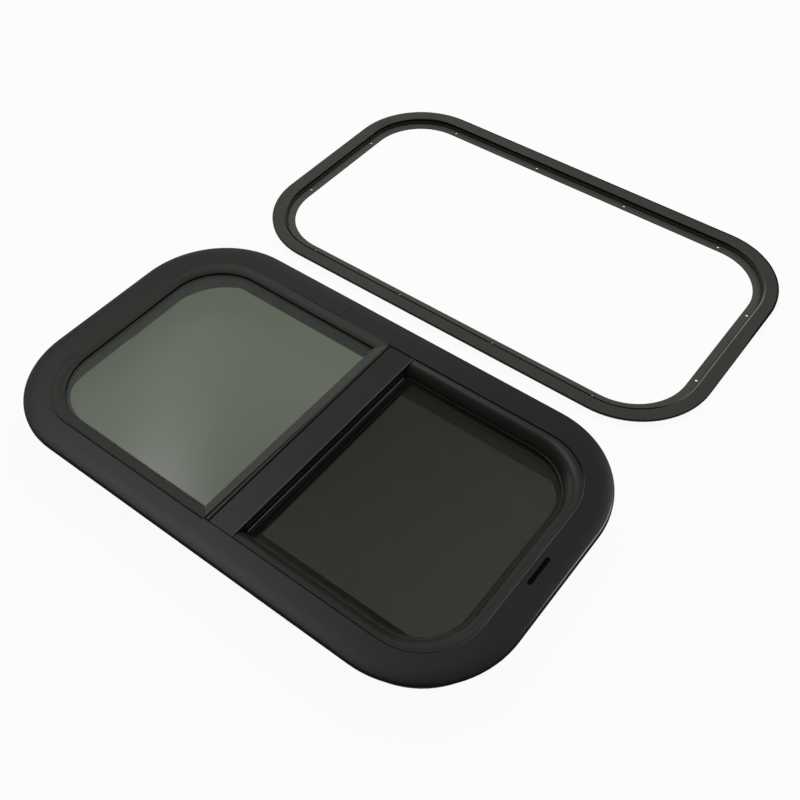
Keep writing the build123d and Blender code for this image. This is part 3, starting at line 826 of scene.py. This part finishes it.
# %% [markdown]
# Round the fixed pane run the gasket's lip and, under the glass, the shelf's. A black band of
# painted shade lies along the near side as far as the mullion. The trim round the sliding pane
# has a painted highlight along the right side.

# %% Lips and lines round the panes
lip_line = Outline(37.4 * mm, 71.0 * mm)
edge_band("gasket_lip", gasket_finish, lip_line, no_turn,
          lip_line.far_mullion(), lip_line.after(5),
          level=46.30 * mm, width=6.4 * mm, fall=1.42 * mm)

shelf_line = Outline(57.3 * mm, 58.0 * mm)
edge_band("shelf_lip", frame_finish, shelf_line, no_turn,
          shelf_line.far_mullion(), shelf_line.after(4),
          level=36.4 * mm, width=12.6 * mm, last_fade=60 * mm)

joint_shade_line = Outline(33.2 * mm, 74.8 * mm)
joint_shade_fade = 40 * mm
# Painted shade: a black band along the near joint, where the flange's edge throws shade.
edge_band("joint_shade", painted_shade_finish, joint_shade_line, no_turn,
          joint_shade_line.after(5, -joint_shade_fade), joint_shade_line.near_mullion(),
          level=47.01 * mm, width=1.3 * mm, first_fade=joint_shade_fade)

# Painted highlight along the trim's right side.
trim_line = Outline(35.3 * mm, 72.7 * mm)
edge_band("trim_edge_highlight", dim_highlight_finish, trim_line, half_turn,
          trim_line.after(2, 0.5 * trim_line.arc), trim_line.after(4, 0.5 * trim_line.arc),
          level=46.52 * mm, width=1.4 * mm, fall=0.95 * mm,
          first_fade=30 * mm, last_fade=30 * mm)

# %% [markdown]
# The flange's rim has a painted highlight on the right side, from beside the drain slot into the
# far corner.

# %% Painted highlight on the flange's edge
# Painted highlight along the flange's rim on the right side.
rim_line = Outline(1.9 * mm, 114.5 * mm)
edge_band("rim_highlight", bright_highlight_finish, rim_line, half_turn,
          rim_line.after(3, rim_line.short_side / 2 - 65 * mm), rim_line.after(4, 55 * mm),
          level=45.66 * mm, width=1.1 * mm, fall=-0.20 * mm,
          first_fade=90 * mm, last_fade=25 * mm)

# %% [markdown]
# On the ring the bend inside the flange has painted shade along the near side and a painted
# highlight along the right one. The wall under it has painted shade along the far and left sides,
# and so has the outer edge along the far side.

# %% Lines on the clamp ring
ring_face = 9.52 * mm


def ring_outline(inset):
    """An outline that keeps its distance from the ring's edge."""
    return Outline(inset, ring_radius - inset, ring_centre)


bend_line = ring_outline(17.4 * mm)
edge_band("ring_bend_shade", painted_shade_finish, bend_line, no_turn,
          bend_line.after(4, 0.4 * bend_line.arc), bend_line.after(6, 0.8 * bend_line.arc),
          level=ring_face, width=1.9 * mm, fall=0.26 * mm,
          first_fade=40 * mm, last_fade=40 * mm)
# Painted highlight along the bend on the ring's right side.
edge_band("ring_bend_highlight", bright_highlight_finish, bend_line, half_turn,
          bend_line.after(2, 0.6 * bend_line.arc), bend_line.after(4, 0.4 * bend_line.arc),
          level=ring_face, width=1.2 * mm, fall=0.15 * mm,
          first_fade=60 * mm, last_fade=40 * mm)
wall_line = ring_outline(19.4 * mm)
edge_band("ring_wall_shade", painted_shade_finish, wall_line, no_turn,
          wall_line.after(0, 0.6 * wall_line.arc), wall_line.after(4, 0.4 * wall_line.arc),
          level=7.95 * mm, width=1.0 * mm, fall=2.6 * mm,
          first_fade=60 * mm, last_fade=60 * mm)
edge_line = ring_outline(1.1 * mm)
edge_band("ring_edge_shade", painted_shade_finish, edge_line, half_turn,
          edge_line.after(3, 0.5 * edge_line.short_side), edge_line.after(6, 0.3 * edge_line.arc),
          level=ring_face, width=2.0 * mm, first_fade=60 * mm, last_fade=60 * mm)

# %% [markdown]
# ## Straight bars
#
# The mullion's raised left edge is a broad rail with painted shade in a groove on one side and,
# on the near half, painted shade along a narrow gap on the other. Its right edge and the step
# under it have painted highlights, and so have two lines on the stile. Through the sliding pane the
# screen's far and near rails are drawn broad: the near one dark, as painted shade of the near trim,
# and the far one as a painted reflection of the far trim's wall.
# All of these run straight, so each is a plain bar, made from its four corners in plan and two
# levels. They are in millimetres, and a corner that isn't square makes a bar taper.

# %% Bars on the mullion, the stile and the screen
def bar(name, body, slot, finish, plan, bottom, top):
    """A straight bar; plan gives its four corners in turn, in millimetres as seen from above."""
    mesh = bpy.data.meshes.new(name)
    corners = [(x * mm, y * mm, z * mm) for z in (bottom, top) for x, y in plan]
    sides = [(0, 1, 5, 4), (1, 2, 6, 5), (2, 3, 7, 6), (3, 0, 4, 7)]
    mesh.from_pydata(corners, [], [(3, 2, 1, 0), *sides, (4, 5, 6, 7)])
    mesh.materials.append(finish)
    piece = bpy.data.objects.new(name, mesh)
    bpy.context.scene.collection.objects.link(piece)
    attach(piece, body)
    print(name, "has its top", top, "mm above the floor")


def even_plan(left, right, end):
    """The plan of a bar of one width that reaches as far near as far."""
    return [(left, -end), (right, -end), (right, end), (left, end)]


mullion_end = 154.5
gap_shade_end = 15.0
stile_end = 134.0
bar("mullion_rail", "window", "frame_coating", frame_finish,
    [(-6.65, -mullion_end), (-2.4, -mullion_end), (-4.1, mullion_end), (-6.65, mullion_end)],
    bottom=45.3, top=46.72)
# Painted shade in the mullion's groove.
bar("mullion_groove_shade", "window", "frame_coating", painted_shade_finish,
    [(-2.5, -mullion_end), (-0.8, -mullion_end), (-2.8, mullion_end), (-4.2, mullion_end)],
    bottom=45.5, top=45.94)
# Painted shade along the narrow gap on the near half.
bar("mullion_gap_shade", "window", "frame_coating", painted_shade_finish,
    [(-7.9, -mullion_end), (-6.0, -mullion_end), (-6.3, gap_shade_end), (-6.5, gap_shade_end)],
    bottom=46.3, top=46.85)
# Painted highlights on the mullion's step and its right edge.
bar("mullion_step_highlight", "window", "frame_coating", dim_highlight_finish,
    even_plan(31.5, 31.9, stile_end), bottom=39.0, top=40.1)
bar("mullion_edge_highlight", "window", "frame_coating", dim_highlight_finish,
    even_plan(30.3, 31.65, mullion_end), bottom=46.4, top=46.72)

# Painted highlights on two lines of the stile.
bar("stile_edge_highlight", "sash", "screen_coating", bright_highlight_finish,
    even_plan(32.1, 33.0, stile_end), bottom=32.2, top=32.43)
bar("stile_line_highlight", "sash", "screen_coating", dim_highlight_finish,
    even_plan(35.1, 35.6, stile_end), bottom=31.2, top=31.95)

rail_left = 38.6
rail_right = 246.0
rail_side = 131.6
rail_levels = {"bottom": 21.6, "top": 22.35}
near_inner = -124.6
far_inner = 118.0
# Painted shade of the near trim, drawn as a broad dark near rail of the screen.
bar("near_rail_shade", "window", "screen_coating", rail_and_shade_finish,
    [(rail_left, -rail_side), (rail_right, -rail_side),
     (251.0, near_inner), (rail_left, near_inner)], **rail_levels)
# Painted reflection of the far trim's wall in the pane, drawn as a broad far rail of the screen.
bar("far_rail_reflection", "window", "screen_coating", screen_and_reflection_finish,
    [(rail_left, far_inner), (254.0, far_inner),
     (rail_right, rail_side), (rail_left, rail_side)], **rail_levels)

# %% [markdown]
# ## Floor
#
# A product picture stands on a floor without an edge. The floor is plain pale grey for light
# that bounces. For rays from the camera most of it is mixed with plain white, so that it matches
# the backdrop and still keeps a soft shadow under the flange. Rays through glass see a smaller
# share of white, and rays off gloss the least.

# %% Floor
floor_reach = 6.0
floor_mesh = bpy.data.meshes.new("floor")
floor_drop = -0.05 * mm
quarters = ((-1, -1), (1, -1), (1, 1), (-1, 1))
corners = [(side * floor_reach, depth * floor_reach, floor_drop) for side, depth in quarters]
floor_mesh.from_pydata(corners, [], [(0, 1, 2, 3)])
floor = bpy.data.objects.new("floor", floor_mesh)
bpy.context.scene.collection.objects.link(floor)

floor_finish = bpy.data.materials.new("floor")
floor_finish.use_nodes = True
floor_tree = floor_finish.node_tree
floor_tree.nodes.clear()
floor_output = floor_tree.nodes.new("ShaderNodeOutputMaterial")
paper = floor_tree.nodes.new("ShaderNodeBsdfDiffuse")
paper.inputs["Color"].default_value = (0.6, 0.6, 0.6, 1)
glow = floor_tree.nodes.new("ShaderNodeEmission")
glow.inputs["Color"].default_value = (1, 1, 1, 1)
floor_mix = floor_tree.nodes.new("ShaderNodeMixShader")
floor_path = floor_tree.nodes.new("ShaderNodeLightPath")
white_of = {"Is Camera Ray": 0.94, "Is Glossy Ray": 0.25, "Is Transmission Ray": 0.62}
share = 0.0
for ray, white in white_of.items():
    part = maths(floor_tree, "MULTIPLY", floor_path.outputs[ray], white)
    share = maths(floor_tree, "MAXIMUM", part, share)
floor_tree.links.new(share, floor_mix.inputs["Fac"])
floor_tree.links.new(paper.outputs["BSDF"], floor_mix.inputs[1])
floor_tree.links.new(glow.outputs["Emission"], floor_mix.inputs[2])
floor_tree.links.new(floor_mix.outputs["Shader"], floor_output.inputs["Surface"])
floor_mesh.materials.append(floor_finish)
print("floor reaches", floor_reach, "m each way")

# %% [markdown]
# ## Light
#
# The light is soft and comes mostly from above and behind. The world is a dark studio with a few
# bright patches, which the satin coat mirrors towards the camera: one high on the left, a weaker
# one behind, a small and much brighter one behind on the right and a low one on the left. A
# narrow strip high on the left draws the streak on the fixed pane. The camera and rays through
# glass see plain white, and gloss sees a share of it, most of all low on the left. Two softboxes,
# overhead and in front, give the faces their form. Their mirror images would lie on the glass as
# hard white squares, so gloss and glass don't see them.

# %% World
def glow_around(tree, azimuth, elevation, tightness):
    """1 towards a point of the sky, falling softly around it; azimuth is from +Y towards +X."""
    turn, rise = math.radians(azimuth), math.radians(elevation)
    centre = (math.sin(turn) * math.cos(rise), math.cos(turn) * math.cos(rise), math.sin(rise))
    place = tree.nodes.new("ShaderNodeTexCoord")
    dot = tree.nodes.new("ShaderNodeVectorMath")
    dot.operation = "DOT_PRODUCT"
    dot.inputs[1].default_value = centre
    tree.links.new(place.outputs["Generated"], dot.inputs[0])
    return maths(tree, "POWER", maths(tree, "MAXIMUM", dot.outputs["Value"], 0.0), tightness)


world = bpy.data.worlds.new("studio")
bpy.context.scene.world = world
world.use_nodes = True
sky_tree = world.node_tree
sky_tree.nodes.clear()
sky_output = sky_tree.nodes.new("ShaderNodeOutputWorld")
studio = sky_tree.nodes.new("ShaderNodeBackground")
studio.inputs["Color"].default_value = (1, 1, 1, 1)
# Each patch has an azimuth, an elevation, a tightness and a strength.
patches = {
    "high on the left": (-75, 58, 150, 6.0),
    "behind": (-36, 32, 110, 1.8),
    "behind on the right": (16, 40, 325, 30.0),
    "low on the left": (-86, 16, 115, 3.5),
}
level = 0.0
for patch_azimuth, patch_elevation, tightness, strength in patches.values():
    patch_glow = glow_around(sky_tree, patch_azimuth, patch_elevation, tightness)
    level = maths(sky_tree, "ADD", maths(sky_tree, "MULTIPLY", patch_glow, strength), level)

strip_across = (0.766, 0.573, 0.289)
strip_spread = 0.031
strip_strength = 5.0
strip_place = sky_tree.nodes.new("ShaderNodeTexCoord")
strip_side = sky_tree.nodes.new("ShaderNodeVectorMath")
strip_side.operation = "DOT_PRODUCT"
strip_side.inputs[1].default_value = strip_across
sky_tree.links.new(strip_place.outputs["Generated"], strip_side.inputs[0])
strip_off = maths(sky_tree, "DIVIDE", strip_side.outputs["Value"], strip_spread)
strip_square = maths(sky_tree, "POWER", strip_off, 2.0)
strip_fall = maths(sky_tree, "EXPONENT", maths(sky_tree, "MULTIPLY", strip_square, -0.5))
strip_around = glow_around(sky_tree, azimuth=-74, elevation=60, tightness=52)
strip_glow = maths(sky_tree, "MULTIPLY", strip_fall, strip_around)
level = maths(sky_tree, "ADD", maths(sky_tree, "MULTIPLY", strip_glow, strip_strength), level)
sky_tree.links.new(level, studio.inputs["Strength"])

wall_share = 0.8
white_everywhere = 0.06
backdrop = sky_tree.nodes.new("ShaderNodeBackground")
backdrop.inputs["Color"].default_value = (1, 1, 1, 1)
backdrop.inputs["Strength"].default_value = 1.0
sky_mix = sky_tree.nodes.new("ShaderNodeMixShader")
sky_path = sky_tree.nodes.new("ShaderNodeLightPath")
wall_around = glow_around(sky_tree, azimuth=-57, elevation=5, tightness=22)
low_left = maths(sky_tree, "MULTIPLY", wall_around, wall_share)
white_wall = maths(sky_tree, "ADD", low_left, white_everywhere)
white_share = maths(sky_tree, "MULTIPLY", sky_path.outputs["Is Glossy Ray"], white_wall)
for ray in ("Is Camera Ray", "Is Transmission Ray"):
    white_share = maths(sky_tree, "MAXIMUM", sky_path.outputs[ray], white_share)
sky_tree.links.new(white_share, sky_mix.inputs["Fac"])
sky_tree.links.new(studio.outputs["Background"], sky_mix.inputs[1])
sky_tree.links.new(backdrop.outputs["Background"], sky_mix.inputs[2])
sky_tree.links.new(sky_mix.outputs["Shader"], sky_output.inputs["Surface"])
print("bright patches of the world:", ", ".join(patches))


# %% Softboxes
def softbox(name, place, target, size, power):
    """A square area lamp that faces a target."""
    data = bpy.data.lights.new(name, "AREA")
    data.shape = "SQUARE"
    data.size = size
    data.energy = power
    lamp = bpy.data.objects.new(name, data)
    aim = (Vector(target) - Vector(place)).normalized()
    turned = aim.to_track_quat("-Z", "Y").to_matrix().to_4x4()
    lamp.matrix_world = Matrix.Translation(place) @ turned
    bpy.context.scene.collection.objects.link(lamp)
    return lamp


lit_place = (0, 0.1, 0)
overhead = softbox("overhead", (-0.5, 1.1, 2.0), lit_place, size=1.3, power=32)
front = softbox("front", (0.9, -1.6, 1.2), lit_place, size=1.2, power=16)
for lamp in (overhead, front):
    lamp.visible_glossy = False
    lamp.visible_transmission = False
bpy.context.scene.view_settings.view_transform = "Standard"
print("softboxes:", overhead.name, front.name)
